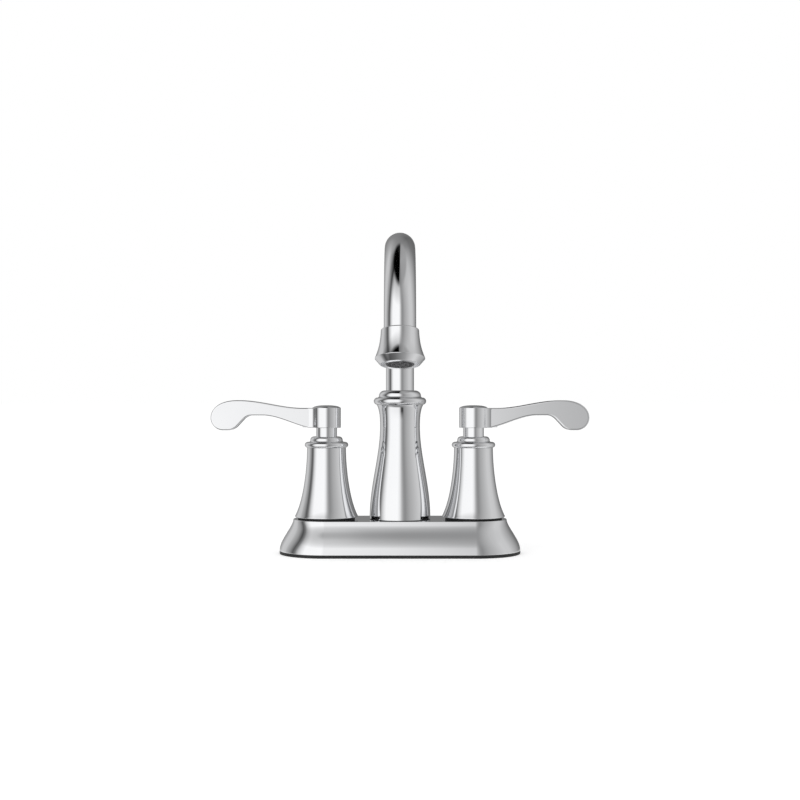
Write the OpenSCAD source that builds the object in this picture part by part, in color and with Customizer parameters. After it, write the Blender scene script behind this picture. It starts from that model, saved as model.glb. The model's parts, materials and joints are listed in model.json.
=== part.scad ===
/* [Layout] */
// Distance between the two valve axes
centres = 101.6; // [100:0.1:110]
// Steps on the curved profiles
curve_steps = 14; // [8:1:20]

/* [Deck plate] */
// End radius at the foot
plate_foot_r = 32.3; // [31:0.1:36]
// End radius of the top face
plate_top_r = 22.6; // [22:0.1:25]
// Height of the casting above its gasket
plate_h = 21.6; // [20.5:0.1:26]
// Wall of the casting
plate_wall = 2.5; // [2:0.1:3]
// Thickness of the deck gasket
gasket_t = 2.2; // [1.5:0.1:3]
// Height of the rim that keys the gasket into the plate
gasket_rim_h = 2; // [1:0.1:3]
// Thickness of that rim
gasket_rim_t = 1.5; // [1:0.1:2]

/* [Bells] */
// Radius of the foot
bell_foot_r = 21.7; // [21:0.1:23]
// Radius of the neck under the bead
bell_neck_r = 13.4; // [13.2:0.1:14]
// Height from the foot to the top of the dome
bell_h = 55.5; // [53:0.1:60]
// Wall of the casting
bell_wall = 1.9; // [1.5:0.1:2]
// Height of the bead
bell_bead_h = 3.9; // [3:0.1:4.5]
// Radius of the bead
bell_bead_r = 15; // [14.6:0.1:16]
// Height of the dome above the bead
bell_dome_h = 3.8; // [3.4:0.1:4.5]
// Radius at the foot of the dome
bell_dome_r = 11.2; // [10.8:0.1:12]
// Thickness of the seal under the bell
bell_seal_t = 1.3; // [0.8:0.1:2]
// Outer radius of that seal
bell_seal_r = 20.5; // [20:0.1:21]

/* [Spout column] */
// Radius of the foot
column_foot_r = 21; // [20:0.1:22]
// Radius of the waist
column_waist_r = 13.75; // [13.6:0.05:14.5]
// Radius under the bead
column_flare_r = 16.1; // [15.6:0.1:17]
// Height from the foot to the waist
column_waist_h = 63.8; // [60:0.1:70]
// Height from the waist to the bead
column_flare_h = 14.5; // [13:0.1:18]
// Height of the bead
column_bead_h = 5; // [4:0.1:6]
// Radius of the bead
column_bead_r = 18.1; // [17.6:0.1:19]
// Height of the dome above the bead
column_dome_h = 4.9; // [4:0.1:6]
// Radius at the foot of the dome
column_dome_r = 14.5; // [14:0.1:15.5]
// Wall of the casting
column_wall = 2; // [1.8:0.1:2.2]
// Thickness of the seal under the column
column_seal_t = 0.4; // [0.3:0.1:1]

/* [Handles] */
// Radius of the round hub
hub_r = 9.85; // [9.5:0.05:11]
// Height of the hub's side
hub_h = 14; // [13.5:0.1:16]
// Rise of the hub's crowned top
hub_crown = 1.6; // [0.5:0.1:3]
// Radius of the neck that enters the bell
handle_neck_r = 7.2; // [6.8:0.05:7.4]
// Length of the neck that shows above the bell
handle_neck_h = 6; // [4:0.1:9]
// Reach of the blade from the hub's axis to its tip
blade_reach = 79.7; // [70:0.1:90]
// Radius of the tip's round underside
blade_tip_r = 8.6; // [8:0.1:9.5]
// Height of the paddle at the tip
blade_tip_h = 20.6; // [19:0.1:22]
// Height of the arm at its narrowest
arm_h = 10.2; // [9:0.1:11]
// Height of the arm where it leaves the hub
arm_root_h = 13.6; // [13:0.1:13.8]
// Rise of the blade's top edge from the hub to the tip
blade_rise = 5.3; // [3:0.1:7]
// Half thickness of the blade at the hub
blade_half_t = 4; // [3.2:0.1:4.6]
// Share of that thickness left at the tip
blade_taper = 0.85; // [0.6:0.05:1]
// Radius of the blade's edges
blade_edge_r = 1.1; // [0.8:0.1:2]
// Radius of the hollow between the hub and each face of the blade
root_fillet_r = 6.2; // [4:0.1:8]

/* [Spout] */
// Outer diameter of the tube
tube_d = 19.3; // [19:0.1:19.8]
// Wall of the tube
tube_wall = 1.2; // [1:0.1:1.5]
// Bend radius at the tube's centre line
bend_r = 61.05; // [55:0.05:70]
// Height of the tube's straight rear leg above the column
rear_leg_h = 29.8; // [20:0.1:60]
// Angle by which the outlet leans forward
outlet_tilt = 12; // [0:1:20]
// Length of the straight front leg, with the ferrule
front_leg_h = 29.95; // [28:0.05:40]

/* [Outlet] */
// Length of the ferrule
ferrule_h = 22.6; // [22:0.1:26]
// Radius of its top
ferrule_top_r = 11.4; // [11.2:0.1:12.5]
// Largest radius
ferrule_rim_r = 15; // [14.5:0.1:16]
// Height of the chamfer under the largest radius
ferrule_chamfer_h = 4.1; // [3:0.1:5]
// Radius of the mouth's flat rim
ferrule_mouth_r = 11.9; // [11.7:0.1:12.5]
// Outer radius of the aerator housing
aerator_r = 10.3; // [10.2:0.05:10.5]
// Wall of the aerator housing
aerator_wall = 1.9; // [1.5:0.1:2.2]
// Height of the aerator housing
aerator_h = 7.6; // [7:0.1:8.5]
// Spokes in the aerator insert
aerator_spokes = 8; // [6:1:12]

/* [Valves] */
// Radius of the valve body's barrel inside the bell
barrel_r = 11.7; // [11.5:0.05:11.8]
// Radius of the flange under the deck plate
flange_r = 15.5; // [14.5:0.1:16]
// Thickness of that flange
flange_t = 2.5; // [2:0.1:3]
// Height of the barrel's top above the plate
barrel_h = 36.2; // [34:0.1:37]
// Radius of the cartridge chamber
chamber_r = 9.4; // [9.2:0.05:9.6]
// Depth of the cartridge chamber
chamber_depth = 28; // [27:0.1:29]
// Radius of the threaded inlet
inlet_r = 7.48; // [7:0.01:7.8]
// Depth of the threaded inlet
inlet_depth = 8.6; // [7:0.1:8.8]
// Radius of the lug's tapped hole for the fixing stud
stud_r = 2.5; // [2:0.1:3]
// Distance of the stud behind the inlet's axis
stud_offset = 12.2; // [12:0.1:13]
// Outer radius of the crossover tubes
link_r = 4; // [3.5:0.1:4.1]
// Wall of the crossover tubes
link_wall = 1; // [0.8:0.1:1.2]

/* [Cartridges] */
// Width of the hexagon across its flats
hex_af = 19.5; // [19:0.1:19.6]
// Height of the hexagon
hex_h = 5; // [4:0.1:6]
// Radius of the ceramic discs
disc_r = 7.5; // [7.2:0.05:7.6]
// Thickness of each ceramic disc
disc_t = 3.5; // [3:0.1:3.8]
// Thickness of the seat seal
seat_seal_t = 3.2; // [3:0.1:3.6]
// Radius of the stem
stem_r = 4.9; // [4.6:0.05:5]
// Radius over the stem's splines
spline_r = 4; // [3.6:0.05:4.2]
// Number of splines
spline_teeth = 20; // [12:1:24]
// Radius of the handle's set screw
set_screw_r = 2.5; // [2:0.1:2.6]

/* [Fits] */
// Radial running clearance
run_gap = 0.1; // [0.06:0.01:0.15]
// Clearance of pieces that pass without touching
free_gap = 0.25; // [0.2:0.01:0.3]

/* [Hidden] */
$fn = 96;
eps = 0.01;

// heights of the base
plate_top = gasket_t + plate_h;
plate_under = plate_top - plate_wall;
flange_z = plate_under - flange_t;
body_foot = 0.4;
gasket_gap = 0.5;

// heights of the bells and the column
bell_foot = plate_top + bell_seal_t;
bell_top = bell_foot + bell_h;
bell_dome_z = bell_top - bell_dome_h;
bell_bead_z = bell_dome_z - bell_bead_h;
bell_lip = 0.7;
bell_shelf_r = bell_seal_r - 2.2;
bell_ceiling = bell_dome_z + 1.2;
column_foot = plate_top + column_seal_t;
waist_z = column_foot + column_waist_h;
column_bead_z = waist_z + column_flare_h;
column_dome_z = column_bead_z + column_bead_h;
column_top = column_dome_z + column_dome_h;

// valve body and cartridge
barrel_top = plate_top + barrel_h;
chamber_floor = barrel_top - chamber_depth;
lower_r = inlet_r + 4;
lug_r = stud_r + 2.5;
port_z = body_foot + inlet_depth + link_r + 1;
port_start = 6.2;
port_boss_end = 15;
link_end = 9.5;
passage_r = 4.2;
bypass_r = 2;
bypass_x = passage_r + bypass_r + 1;
land_gap = 0.15;
land_h = 10;
land_top = barrel_top + 0.5;
housing_r = chamber_r - run_gap;
housing_foot = chamber_floor + seat_seal_t - 1.2;
disc_bore_r = disc_r + run_gap;
fixed_z = chamber_floor + seat_seal_t;
moving_z = fixed_z + disc_t + 0.05;
moving_r = disc_r - run_gap;
shoulder_z = moving_z + disc_t + 0.2;
shoulder_h = 5.9;
washer_t = 0.8;
washer_z = shoulder_z + shoulder_h + run_gap;
ledge_z = washer_z + washer_t;
stem_bore_r = stem_r + run_gap;
hex_z = barrel_top;
housing_neck_r = stem_r + 1.9;
housing_neck_h = 5;
housing_top = hex_z + hex_h + housing_neck_h;
clip_z = housing_top + run_gap;
clip_t = 0.8;
clip_slot = 0.5;
oring_rise = 8;
oring_z = ledge_z + oring_rise;
oring_slot = 1.6;
handle_foot = bell_dome_z - 0.3;
hub_z = bell_top + handle_neck_h;
hub_top = hub_z + hub_h;
spline_gap = 0.1;
spline_depth = 0.45;
spline_top = hub_top - 4.6;
screw_z = hub_z + hub_h / 2 - 2.4;
tongue_w = 2.5;
tongue_l = 10;
tongue_h = 1.6;

// spout and its bearing in the column
tube_r = tube_d / 2;
tube_in = tube_r - tube_wall;
column_bore = column_waist_r - column_wall;
column_land_h = 12;
spigot_r = column_bore - 0.45;
spigot_wall = 3.2;
socket_r = spigot_r - spigot_wall;
insert_r = socket_r - run_gap;
insert_bore = insert_r - 2.5;
spigot_rise = 6.5;
spigot_top = waist_z + spigot_rise;
socket_depth = 28.5;
socket_z = spigot_top - socket_depth;
insert_foot = socket_z + 1;
spout_washer_t = 0.55;
collar_z = spigot_top + spout_washer_t + 0.05;
collar_h = 2.9;
collar_r = spigot_r - 0.3;
tube_foot = collar_z + collar_h;
plug_h = 6;
stop_h = 1.4;
stop_r = socket_r + 0.2;
stop_w = 1.2;
swivel = 60;
stop_half = 5;
snap_z = insert_foot + 4.3;
snap_t = 1.2;
snap_depth = 0.9;
oring_pitch = 8;
spout_oring_z = [snap_z + oring_pitch - 1.3, snap_z + 2 * oring_pitch - 1.3];
spout_oring_slot = 1.6;
spigot_block_r = 12;
link_seat = 3.5;
snap_opening = 4;
bush_gap = 0.07;
bush_foot = tube_foot + 0.3;
bush_top = column_top - 2.5;

// path of the tube
bend_z = column_top + rear_leg_h;
sweep = 180 - outlet_tilt;
outlet_y = -bend_r * (1 - cos(sweep)) - front_leg_h * sin(outlet_tilt);
outlet_z = bend_z + bend_r * sin(sweep) - front_leg_h * cos(outlet_tilt);
tube_end = aerator_h + 1.5;
leg_step = 0.01;

// a smooth curve between two points of a profile, bent by two pulls
function along(a, b, k) = [a[0] + (b[0] - a[0]) * k[0], a[1] + (b[1] - a[1]) * k[1]];
function mix(a, b, c, d, t) =
    pow(1 - t, 3) * a + 3 * pow(1 - t, 2) * t * b + 3 * (1 - t) * t * t * c + t * t * t * d;
function curve(a, b, k1, k2, steps = curve_steps) =
    [for (i = [0:steps]) mix(a, along(a, b, k1), along(a, b, k2), b, i / steps)];

// an arc of a profile about a centre, from one angle to another
function arc(c, r, from, to, steps = 8) =
    [for (i = [0:steps]) let (a = from + (to - from) * i / steps) c + r * [cos(a), sin(a)]];

function reversed(p) = [for (i = [len(p) - 1:-1:0]) p[i]];

module turned(p) {
    rotate_extrude() polygon(p);
}

module ring(r_out, r_in, z, h) {
    translate([0, 0, z]) difference() {
        cylinder(r = r_out, h = h);
        translate([0, 0, -1]) cylinder(r = r_in, h = h + 2);
    }
}

module hole(r, z, h) {
    translate([0, 0, z - eps]) cylinder(r = r, h = h + 2 * eps);
}

module oring(r_out, r_in, z) {
    section = (r_out - r_in) / 2;
    translate([0, 0, z]) rotate_extrude() translate([r_in + section, 0]) circle(r = section, $fn = 32);
}

module on_hot() {
    translate([-centres / 2, 0, 0]) children();
}

module on_cold() {
    translate([centres / 2, 0, 0]) mirror([1, 0, 0]) children();
}

// the plate's side: an ogee from the foot up to the top face
plate_side = curve([plate_foot_r, gasket_t], [plate_top_r, plate_top], [0, 0.296], [1, 0.809]);

function plate_inside() =
    [for (p = plate_side) if (p[1] < plate_under - 0.5) [p[0] - plate_wall, p[1]]];

// a stadium whose ends turn the profile and whose middle carries it straight across
module stadium(p, drop) {
    half = concat([[0, p[0][1] - drop]], [[p[0][0], p[0][1] - drop]], p, [[0, p[len(p) - 1][1]]]);
    for (side = [-1, 1])
        translate([side * centres / 2, 0, 0]) rotate([0, 0, -90 * side])
            rotate_extrude(angle = 180) polygon(half);
    both = concat(half, [for (q = reversed(half)) [-q[0], q[1]]]);
    translate([-centres / 2, 0, 0]) rotate([90, 0, 90]) linear_extrude(centres) polygon(both);
}

module deck_plate() {
    inside = concat(plate_inside(), [[plate_top_r - plate_wall, plate_under]]);
    color("silver") difference() {
        stadium(plate_side, 0);
        stadium(inside, eps);
        for (x = [-centres / 2, centres / 2])
            translate([x, 0, 0]) hole(barrel_r + free_gap, plate_under - 1, plate_wall + 2);
        hole(spigot_r + free_gap, plate_under - 1, plate_wall + 2);
    }
}

module stadium_sheet(r, z, h) {
    translate([0, 0, z]) linear_extrude(h) {
        square([centres, 2 * r], center = true);
        for (x = [-centres / 2, centres / 2]) translate([x, 0]) circle(r = r);
    }
}

module deck_gasket() {
    rim_r = plate_inside()[0][0] - 1.2;
    color([0.06, 0.06, 0.06]) difference() {
        union() {
            stadium_sheet(plate_foot_r, 0, gasket_t);
            stadium_sheet(rim_r, gasket_t, gasket_rim_h);
        }
        stadium_sheet(rim_r - gasket_rim_t, gasket_t, gasket_rim_h + 1);
        for (x = [-centres / 2, centres / 2]) translate([x, 0, -1]) {
            cylinder(r = lower_r + gasket_gap, h = gasket_t + 2);
            translate([0, stud_offset, 0]) cylinder(r = lug_r + gasket_gap, h = gasket_t + 2);
        }
    }
}

// outside of a bell: lip, flare, bead and dome
function bead(r, z, h) = let (q = h / 2) arc([r - q, z + q], q, -90, 90);
bell_flare =
    curve([bell_foot_r, bell_foot + bell_lip], [bell_neck_r, bell_bead_z], [0.72, 0.239], [1, 0.727]);
function bell_side() = concat(
    [[bell_foot_r - bell_lip, bell_foot]],
    bell_flare,
    bead(bell_bead_r, bell_bead_z, bell_bead_h),
    curve([bell_dome_r, bell_dome_z], [bell_dome_r - 2.6, bell_top], [0.25, 0.75], [0.4, 1], 8)
);

module bell() {
    land_r = barrel_r + land_gap;
    throat_r = bell_neck_r - bell_wall - 0.2;
    land_foot = land_top - land_h;
    lower = [for (q = bell_flare) if (q[1] < land_foot - 1) [min(q[0] - bell_wall, bell_shelf_r), q[1]]];
    color("silver") difference() {
        turned(concat([[0, bell_foot]], bell_side(), [[0, bell_top]]));
        turned(concat(
            [[0, bell_foot - 1], [bell_shelf_r, bell_foot - 1]],
            lower,
            [[land_r, land_foot], [land_r, land_top], [throat_r, land_top + 1]],
            [[throat_r, bell_bead_z + 1], [bell_dome_r - 2.2, bell_dome_z]],
            [[bell_dome_r - 2.6, bell_ceiling]],
            [[0, bell_ceiling]]
        ));
        hole(handle_neck_r + free_gap, bell_dome_z, bell_dome_h + 1);
    }
}

module bell_seal() {
    color([0.06, 0.06, 0.06]) ring(bell_seal_r, bell_shelf_r - 1.5, plate_top, bell_seal_t);
}

module valve_body() {
    color("goldenrod") difference() {
        union() {
            translate([0, 0, body_foot]) cylinder(r = lower_r, h = flange_z - body_foot);
            translate([0, stud_offset, body_foot]) cylinder(r = lug_r, h = flange_z - body_foot);
            translate([0, 0, flange_z]) cylinder(r = flange_r, h = flange_t);
            translate([0, 0, plate_under]) cylinder(r = barrel_r, h = barrel_top - plate_under);
            translate([0, 0, port_z]) rotate([0, 90, 0])
                cylinder(r = flange_z - port_z + eps, h = port_boss_end);
        }
        hole(inlet_r, body_foot, inlet_depth);
        hole(passage_r, body_foot + inlet_depth, chamber_floor - body_foot - inlet_depth);
        hole(chamber_r, chamber_floor, chamber_depth);
        translate([bypass_x, 0, 0]) hole(bypass_r, port_z, chamber_floor - port_z);
        translate([port_start, 0, port_z]) rotate([0, 90, 0]) cylinder(r = link_r, h = port_boss_end);
        translate([0, stud_offset, 0]) hole(stud_r, body_foot, flange_z - body_foot - 3);
    }
}

module crossover() {
    x0 = link_end;
    x1 = centres / 2 - spigot_block_r + link_seat;
    color("darkgoldenrod") translate([x0, 0, port_z]) rotate([0, 90, 0])
        ring(link_r, link_r - link_wall, 0, x1 - x0);
}

// one of the two openings in a ceramic disc
module disc_port(z, h, turn) {
    for (a = [0, 180]) rotate([0, 0, a + turn - 40]) translate([0, 0, z])
        rotate_extrude(angle = 80) translate([2.2, 0]) square([disc_r - 4, h]);
}

module ears(r, w, z, h) {
    for (s = [0, 180]) rotate([0, 0, s])
        translate([disc_r - 1, -w / 2, z]) cube([r - disc_r + 1, w, h]);
}

module fixed_disc() {
    color("ivory") difference() {
        union() {
            translate([0, 0, fixed_z]) cylinder(r = disc_r, h = disc_t);
            ears(housing_r - 0.4, 2.6, fixed_z, disc_t);
        }
        disc_port(fixed_z - 1, disc_t + 2, 90);
    }
}

module moving_disc() {
    color("ivory") difference() {
        translate([0, 0, moving_z]) cylinder(r = moving_r, h = disc_t);
        disc_port(moving_z - 1, disc_t + 2, 0);
        translate([-tongue_w / 2 - run_gap, -disc_r, moving_z + disc_t - tongue_h])
            cube([tongue_w + 2 * run_gap, 2 * disc_r, tongue_h + 1]);
    }
}

module seat_seal() {
    color([0.06, 0.06, 0.06]) ring(disc_r, disc_r - 2.2, chamber_floor, seat_seal_t);
}

module cartridge_housing() {
    window_h = 5.5;
    window_w = 8;
    color("goldenrod") difference() {
        union() {
            translate([0, 0, housing_foot]) cylinder(r = housing_r, h = hex_z - housing_foot);
            translate([0, 0, hex_z]) cylinder(d = hex_af / cos(30), h = hex_h, $fn = 6);
            translate([0, 0, hex_z + hex_h]) cylinder(r = housing_neck_r, h = housing_top - hex_z - hex_h);
        }
        hole(disc_bore_r, housing_foot, ledge_z - housing_foot);
        hole(stem_bore_r, ledge_z, housing_top - ledge_z);
        ears(housing_r + 1, 2.8, housing_foot - 1, fixed_z + disc_t - housing_foot + 1);
        translate([-window_w / 2, -housing_r - 1, shoulder_z - 1.5])
            cube([window_w, 2 * housing_r + 2, window_h]);
    }
}

module thrust_washer() {
    color("white") ring(disc_r, stem_bore_r, washer_z, washer_t);
}

function star(r, depth, teeth) =
    [for (i = [0:2 * teeth - 1]) let (a = 180 * i / teeth) (r - (i % 2) * depth) * [cos(a), sin(a)]];

module stem() {
    slot_r = stem_r - oring_slot;
    color("gold") difference() {
        union() {
            translate([0, 0, shoulder_z]) cylinder(r = moving_r, h = shoulder_h);
            translate([0, 0, shoulder_z]) cylinder(r = stem_r, h = handle_foot - shoulder_z);
            translate([0, 0, handle_foot]) linear_extrude(spline_top - handle_foot)
                polygon(star(spline_r, spline_depth, spline_teeth));
            translate([-tongue_w / 2, -tongue_l / 2, shoulder_z - tongue_h])
                cube([tongue_w, tongue_l, tongue_h + 1]);
        }
        ring(stem_r + 1, slot_r, oring_z - 1, 2);
        ring(stem_r + 1, stem_r - clip_slot, clip_z, clip_t);
    }
}

module stem_oring() {
    color([0.06, 0.06, 0.06]) oring(stem_bore_r - 0.02, stem_r - oring_slot, oring_z);
}

// an open spring ring
module open_ring(r_out, r_in, z, h, gap) {
    difference() {
        ring(r_out, r_in, z, h);
        translate([0, -gap / 2, z - 1]) cube([r_out + 1, gap, h + 2]);
    }
}

module stem_clip() {
    color("dimgray") open_ring(stem_r + 1.4, stem_r - clip_slot, clip_z, clip_t, 2.5);
}

// outline of the blade, from under the hub along the bottom edge, round the tip and back on top
function step3(t) = let (s = min(max(t, 0), 1)) s * s * (3 - 2 * s);
function ease(t) = (step3(t) + sin(90 * min(max(t, 0), 1))) / 2;

tip_u = blade_reach - blade_tip_r;
root_u = 4;
fillet_reach = blade_half_t + root_fillet_r - 0.02;
arm_u = sqrt(pow(hub_r + root_fillet_r, 2) - fillet_reach * fillet_reach);
rise_u = arm_u + blade_half_t;
waist_u = 0.62 * tip_u;
bay_u = 0.73 * tip_u;
bay_end = 0.937 * tip_u;
crest_u = 0.87 * tip_u;
arm_drop = 0.3;
arm_top_z = hub_top - arm_drop;
blade_top_z = arm_top_z + blade_rise;
tip_z = blade_top_z - blade_tip_h + blade_tip_r;
arm_bottom_z = blade_top_z - 0.5 - arm_h;
root_bottom_z = arm_top_z - arm_root_h;
function top_z(u) = arm_top_z + blade_rise * step3((u - rise_u) / (crest_u - 2 - rise_u));
function under_z(u) =
    u < bay_u ? root_bottom_z + (arm_bottom_z - root_bottom_z) * ease((u - arm_u) / (waist_u - arm_u))
    : arm_bottom_z - (arm_bottom_z - tip_z + blade_tip_r) * step3((u - bay_u) / (bay_end - bay_u));

// the under edge has finer steps where it turns into the tip
function spaced(from, to, n) = [for (i = [0:n]) from + (to - from) * i / n];
tip_side = curve([blade_reach, tip_z], [crest_u, blade_top_z], [0, 0.6], [0.42, 1], 11);
blade_outline = concat(
    [for (u = spaced(root_u, bay_u, 12)) [u, under_z(u)]],
    [for (u = spaced(bay_u + 1.2, bay_end, 9)) [u, under_z(u)]],
    arc([tip_u, tip_z], blade_tip_r, -90, 0, 10),
    [for (i = [1:len(tip_side) - 1]) tip_side[i]],
    [for (u = spaced(crest_u - 3, root_u, 22)) [u, top_z(u)]]
);

// each ring of the blade is its outline, drawn in along its own normals
function unit(v) = v / norm(v);
function drawn_in(p, d) = let (n = len(p)) [
    for (i = [0:n - 1])
        let (t = unit(p[(i + 1) % n] - p[(i + n - 1) % n])) p[i] + d * [-t[1], t[0]]
];
function thickness_at(u) = 1 - (1 - blade_taper) * (u - arm_u) / (blade_reach - arm_u);

module blade() {
    n = len(blade_outline);
    angles = [-90, -60, -30, 0, 30, 60, 90];
    rings = [
        for (a = angles)
            let (y = sign(a) * (blade_half_t - blade_edge_r) + blade_edge_r * sin(a))
            [
                for (q = drawn_in(blade_outline, blade_edge_r * (1 - cos(a))))
                    [-q[0], y * thickness_at(q[0]), q[1]]
            ]
    ];
    last = len(angles) - 1;
    walls = [
        for (k = [0:last - 1], i = [0:n - 1])
            let (j = (i + 1) % n) [k * n + i, (k + 1) * n + i, (k + 1) * n + j, k * n + j]
    ];
    strips = [for (i = [0:n / 2 - 2]) [i, i + 1, n - 2 - i, n - 1 - i]];
    caps = concat(strips, [for (q = strips) [for (i = reversed(q)) last * n + i]]);
    polyhedron([for (r = rings, q = r) q], concat(walls, caps));
}

// the stub that blends the blade's faces into the round hub
module blade_root() {
    start = asin(fillet_reach / (hub_r + root_fillet_r));
    side = arc([arm_u, fillet_reach], root_fillet_r, 180 + start, 270, 7);
    plan = concat(side, [[arm_u + blade_half_t, blade_half_t / 2]]);
    half = [for (q = plan) [-q[0], q[1]]];
    translate([0, 0, root_bottom_z + arm_drop]) linear_extrude(arm_root_h - 2 * arm_drop)
        polygon(concat(half, [for (q = reversed(half)) [q[0], -q[1]]]));
}

module handle() {
    edge = 0.9;
    edge_turn = 70;
    hub_side = concat(
        [[0, handle_foot], [handle_neck_r, handle_foot], [handle_neck_r, hub_z]],
        arc([hub_r - edge, hub_z + edge], edge, -90, 0, 4),
        arc([hub_r - edge, hub_top - edge], edge, 0, edge_turn, 4),
        curve([hub_r - 1.4, hub_top], [0, hub_top + hub_crown], [0.3, 0.55], [0.6, 1], 8)
    );
    color("silver") difference() {
        union() {
            turned(hub_side);
            blade();
            blade_root();
        }
        translate([0, 0, handle_foot - 1]) linear_extrude(spline_top + 0.6 - handle_foot + 1)
            polygon(star(spline_r + spline_gap, spline_depth, spline_teeth));
        translate([0, 0, screw_z]) rotate([-90, 0, 0]) cylinder(r = set_screw_r + 0.05, h = hub_r + 1);
    }
}

module set_screw() {
    tip_y = spline_r + 0.1;
    head_y = hub_r - 1.2;
    color("dimgray") translate([0, 0, screw_z]) rotate([-90, 0, 0]) difference() {
        translate([0, 0, tip_y]) cylinder(r = set_screw_r, h = head_y - tip_y);
        translate([0, 0, head_y - 2]) cylinder(d = 2.9, h = 3, $fn = 6);
    }
}

// outside of the column: flare up to the waist, then the cup, the bead and the dome
function column_low() =
    curve([column_foot_r, column_foot], [column_waist_r, waist_z], [0, 0.368], [1, 0.666]);
function column_high() =
    curve([column_waist_r, waist_z], [column_flare_r, column_bead_z], [0, 0.789], [0.86, 0.948], 10);
function column_dome() =
    curve([column_dome_r, column_dome_z], [column_dome_r - 4, column_top], [0.15, 0.7], [0.5, 1], 8);

module spout_column() {
    land_r = spigot_r + land_gap;
    land_foot = waist_z - column_land_h;
    lower = [for (q = column_low()) if (q[1] < land_foot - 1) [q[0] - column_wall, q[1]]];
    high = column_high();
    color("silver") difference() {
        turned(concat(
            [[0, column_foot]],
            column_low(),
            [for (i = [1:len(high) - 1]) high[i]],
            bead(column_bead_r, column_bead_z, column_bead_h),
            column_dome(),
            [[0, column_top]]
        ));
        turned(concat(
            [[0, column_foot - 1], [column_foot_r - column_wall, column_foot - 1]],
            lower,
            [[land_r, land_foot], [land_r, waist_z], [column_bore, waist_z + 0.5]],
            [[column_bore, bush_top + 0.05], [0, bush_top + 0.05]]
        ));
        hole(tube_r + free_gap, bush_top, column_top - bush_top + 1);
    }
}

module column_seal() {
    seal_in = column_foot_r - column_wall - 2;
    color([0.06, 0.06, 0.06]) ring(column_foot_r - 0.4, seal_in, plate_top, column_seal_t);
}

module spout_spigot() {
    block_foot = port_z - link_r - 3;
    color("goldenrod") difference() {
        union() {
            translate([0, 0, block_foot]) cylinder(r = spigot_block_r, h = flange_z - block_foot);
            translate([0, 0, flange_z]) cylinder(r = flange_r, h = flange_t);
            translate([0, 0, plate_under]) cylinder(r = spigot_r, h = spigot_top - plate_under);
            translate([0, 0, spigot_top - 1]) rotate([0, 0, -90 - stop_half])
                rotate_extrude(angle = 2 * stop_half) translate([stop_r, 0]) square([stop_w, stop_h + 1]);
        }
        hole(insert_bore, port_z, spigot_top - port_z);
        hole(socket_r, socket_z, spigot_top - socket_z + stop_h + 1);
        ring(socket_r + snap_depth, socket_r - 1, snap_z - run_gap, snap_t + 2 * run_gap);
        translate([-spigot_block_r - 1, 0, port_z]) rotate([0, 90, 0])
            cylinder(r = link_r - link_wall, h = 2 * spigot_block_r + 2);
        for (s = [0, 180]) rotate([0, 0, s]) translate([spigot_block_r - link_seat, 0, port_z])
            rotate([0, 90, 0]) cylinder(r = link_r, h = link_seat + 1);
    }
}

module spout_thrust_washer() {
    color("white") ring(collar_r, stop_r + stop_w + 0.2, spigot_top, spout_washer_t);
}

module spout_snap_ring() {
    r_out = socket_r + snap_depth - run_gap;
    r_in = insert_r - snap_depth + run_gap;
    color("dimgray") rotate([0, 0, 90]) open_ring(r_out, r_in, snap_z, snap_t, snap_opening);
}

module guide_bush() {
    color("white") ring(column_bore - 0.05, tube_r + bush_gap, bush_foot, bush_top - bush_foot);
}

module spout_insert() {
    slot_half = swivel + stop_half + 1;
    color("goldenrod") difference() {
        union() {
            translate([0, 0, insert_foot]) cylinder(r = insert_r, h = collar_z - insert_foot + 1);
            translate([0, 0, collar_z]) cylinder(r = collar_r, h = collar_h);
            translate([0, 0, tube_foot]) cylinder(r = tube_in, h = plug_h);
        }
        hole(insert_bore, insert_foot, tube_foot + plug_h - insert_foot);
        ring(insert_r + 1, insert_r - snap_depth, snap_z - run_gap, snap_t + 2 * run_gap);
        for (z = spout_oring_z) ring(insert_r + 1, insert_r - spout_oring_slot, z - 1, 2);
        translate([0, 0, collar_z - 1]) rotate([0, 0, -90 - slot_half])
            rotate_extrude(angle = 2 * slot_half)
                translate([stop_r - 0.15, 0]) square([stop_w + 0.3, stop_h + 0.6]);
    }
}

module spout_orings() {
    color([0.06, 0.06, 0.06])
        for (z = spout_oring_z) oring(socket_r - 0.02, insert_r - spout_oring_slot, z);
}

// a bar along the tube's path, from the column up, over and down to the outlet;
// the front leg is a hair slimmer than the bend and starts inside the bend's end
module tube_path(r, foot, trim) {
    translate([0, 0, foot]) cylinder(r = r, h = bend_z - foot);
    translate([0, -bend_r, bend_z]) rotate([90, 0, 90])
        rotate_extrude(angle = sweep) translate([bend_r, 0]) circle(r = r);
    at_outlet() translate([0, 0, trim]) cylinder(r = r - leg_step, h = front_leg_h - trim + 0.5);
}

module at_outlet() {
    translate([0, outlet_y, outlet_z]) rotate([-outlet_tilt, 0, 0]) children();
}

module spout_tube() {
    color("silver") difference() {
        tube_path(tube_r, tube_foot, tube_end);
        tube_path(tube_in, tube_foot - 1, tube_end - 1);
    }
}

module spout_ferrule() {
    shoulder = [ferrule_top_r, ferrule_h - 0.8];
    side = curve([ferrule_rim_r, ferrule_chamfer_h], shoulder, [0.58, 0.3], [0.9, 0.55]);
    color("silver") at_outlet() difference() {
        turned(concat(
            [[0, 0], [ferrule_mouth_r, 0]],
            side,
            [[ferrule_top_r - 0.3, ferrule_h - 0.25], [ferrule_top_r - 0.8, ferrule_h], [0, ferrule_h]]
        ));
        hole(aerator_r + 0.05, -1, tube_end + 1);
        hole(tube_r, tube_end, ferrule_h);
    }
}

module aerator_washer() {
    color([0.06, 0.06, 0.06]) at_outlet()
        ring(aerator_r - 0.1, aerator_r - 2.9, aerator_h, tube_end - aerator_h);
}

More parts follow.
